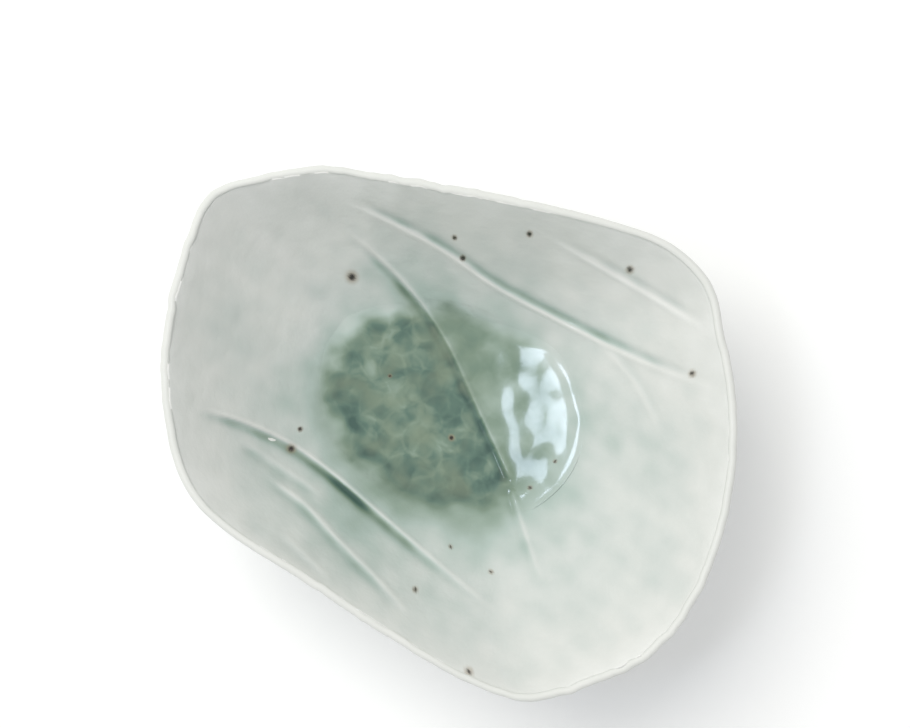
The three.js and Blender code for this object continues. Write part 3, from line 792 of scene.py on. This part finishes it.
def make_foot():
    """The foot ring: a flat ground with rounded edges, leaning walls, and a top that meets the body."""
    angle = around(FOOT_COLUMNS)
    outside = FOOT_RADIUS * foot_oval(angle)
    inside = outside - FOOT_WIDTH
    top_outside = outside + FOOT_FLARE
    top_inside = inside - 0.5 * FOOT_FLARE
    top_share = np.linspace(0, 1, 8)[None, :]
    top_radius = top_inside + (top_outside - top_inside) * top_share
    top_height = underside_height(angle, top_radius) + OVERLAP
    side_share = np.linspace(0.05, 1, 10)[None, :]
    rest = top_height[:, -1:]
    side_radius = top_outside + (outside - top_outside) * side_share
    side_height = rest + (FOOT_EDGE - rest) * side_share
    turn = np.radians(np.linspace(15, 90, 6))[None, :]
    ground_radius = outside - FOOT_EDGE + FOOT_EDGE * np.cos(turn)
    ground_height = FOOT_EDGE - FOOT_EDGE * np.sin(turn) + 0 * angle
    back_turn = np.radians(np.linspace(90, 165, 6))[None, :]
    back_radius = inside + FOOT_EDGE + FOOT_EDGE * np.cos(back_turn)
    back_height = FOOT_EDGE - FOOT_EDGE * np.sin(back_turn) + 0 * angle
    rise_share = np.linspace(0.05, 0.95, 8)[None, :]
    rise_radius = inside + (top_inside - inside) * rise_share
    rise_height = FOOT_EDGE + (top_height[:, :1] - FOOT_EDGE) * rise_share
    radius = np.hstack([top_radius, side_radius, ground_radius, back_radius, rise_radius])
    height = np.hstack([top_height, side_height, ground_height, back_height, rise_height])
    x, y = plan_point(angle, radius)
    piece = grid_mesh("foot_ring_surface", x, y, height, closed_rows=True)
    finish = fired_porcelain("bare_fired_clay", BARE_CLAY, BARE_CLAY_ROUGHNESS, BARE_CLAY_GRAIN)
    place_piece(piece, "foot_ring", finish)


def make_floor():
    """A white table that keeps the bowl's shadow and reads as plain white where nothing shades it."""
    mesh = bpy.data.meshes.new("table")
    signs = ((-1, -1), (1, -1), (1, 1), (-1, 1))
    corners = [(TABLE_HALF * across, TABLE_HALF * along, 0) for across, along in signs]
    mesh.from_pydata(corners, [], [(0, 1, 2, 3)])
    floor = bpy.data.objects.new("table", mesh)
    bpy.context.scene.collection.objects.link(floor)
    material, shader = start_material("white_table")
    seen = add_node(material, "ShaderNodeLightPath").outputs["Is Camera Ray"]
    lift = add_node(material, "ShaderNodeMath", {0: seen, 1: TABLE_LIFT}, operation="MULTIPLY")
    shader.inputs["Base Color"].default_value = linear(TABLE_COLOUR)
    shader.inputs["Roughness"].default_value = TABLE_ROUGHNESS
    shader.inputs["Specular IOR Level"].default_value = TABLE_SPECULAR
    shader.inputs["Emission Color"].default_value = (1, 1, 1, 1)
    link(material, lift.outputs[0], shader, "Emission Strength")
    mesh.materials.append(material)


def add_area(name, place, target, size, power, colour):
    """A soft lamp of a given width and height that faces a target, in metres and watts."""
    data = bpy.data.lights.new(name, "AREA")
    data.shape = "RECTANGLE"
    data.size, data.size_y = size
    data.energy = power
    data.color = linear(colour)[:3]
    lamp = bpy.data.objects.new(name, data)
    lamp.location = place
    step = np.array(target) - np.array(place)
    across = math.hypot(step[0], step[1])
    lamp.rotation_euler = (math.atan2(across, -step[2]), 0, math.atan2(step[1], step[0]) - math.pi / 2)
    bpy.context.scene.collection.objects.link(lamp)
    return lamp


def make_lights():
    """Plain soft studio light: a broad lamp from the upper left, a bluish window, and even fill."""
    key = add_area("key_lamp", KEY_PLACE, KEY_TARGET, KEY_SIZE, KEY_WATTS, KEY_COLOUR)
    key.visible_glossy = False
    add_area("window_lamp", WINDOW_PLACE, WINDOW_TARGET, WINDOW_SIZE, WINDOW_WATTS, WINDOW_COLOUR)
    world = bpy.data.worlds.new("studio")
    world.use_nodes = True
    world.node_tree.nodes["Background"].inputs[0].default_value = (1, 1, 1, 1)
    world.node_tree.nodes["Background"].inputs[1].default_value = FILL_STRENGTH
    bpy.context.scene.world = world


def make_camera():
    """Straight down on the bowl, as far away as the picture's perspective suggests."""
    data = bpy.data.cameras.new("camera")
    data.lens = LENS
    data.sensor_width = SENSOR_WIDTH
    camera = bpy.data.objects.new("camera", data)
    camera.location = (CAMERA_PLACE[0] * MM, CAMERA_PLACE[1] * MM, (RIM_HEIGHT + CAMERA_RISE) * MM)
    bpy.context.scene.collection.objects.link(camera)
    bpy.context.scene.camera = camera


make_camera()
make_lights()
make_floor()
make_inner_glaze()
make_pool()
make_body()
make_outer_glaze()
make_foot()
bpy.context.scene.view_settings.view_transform = "Standard"
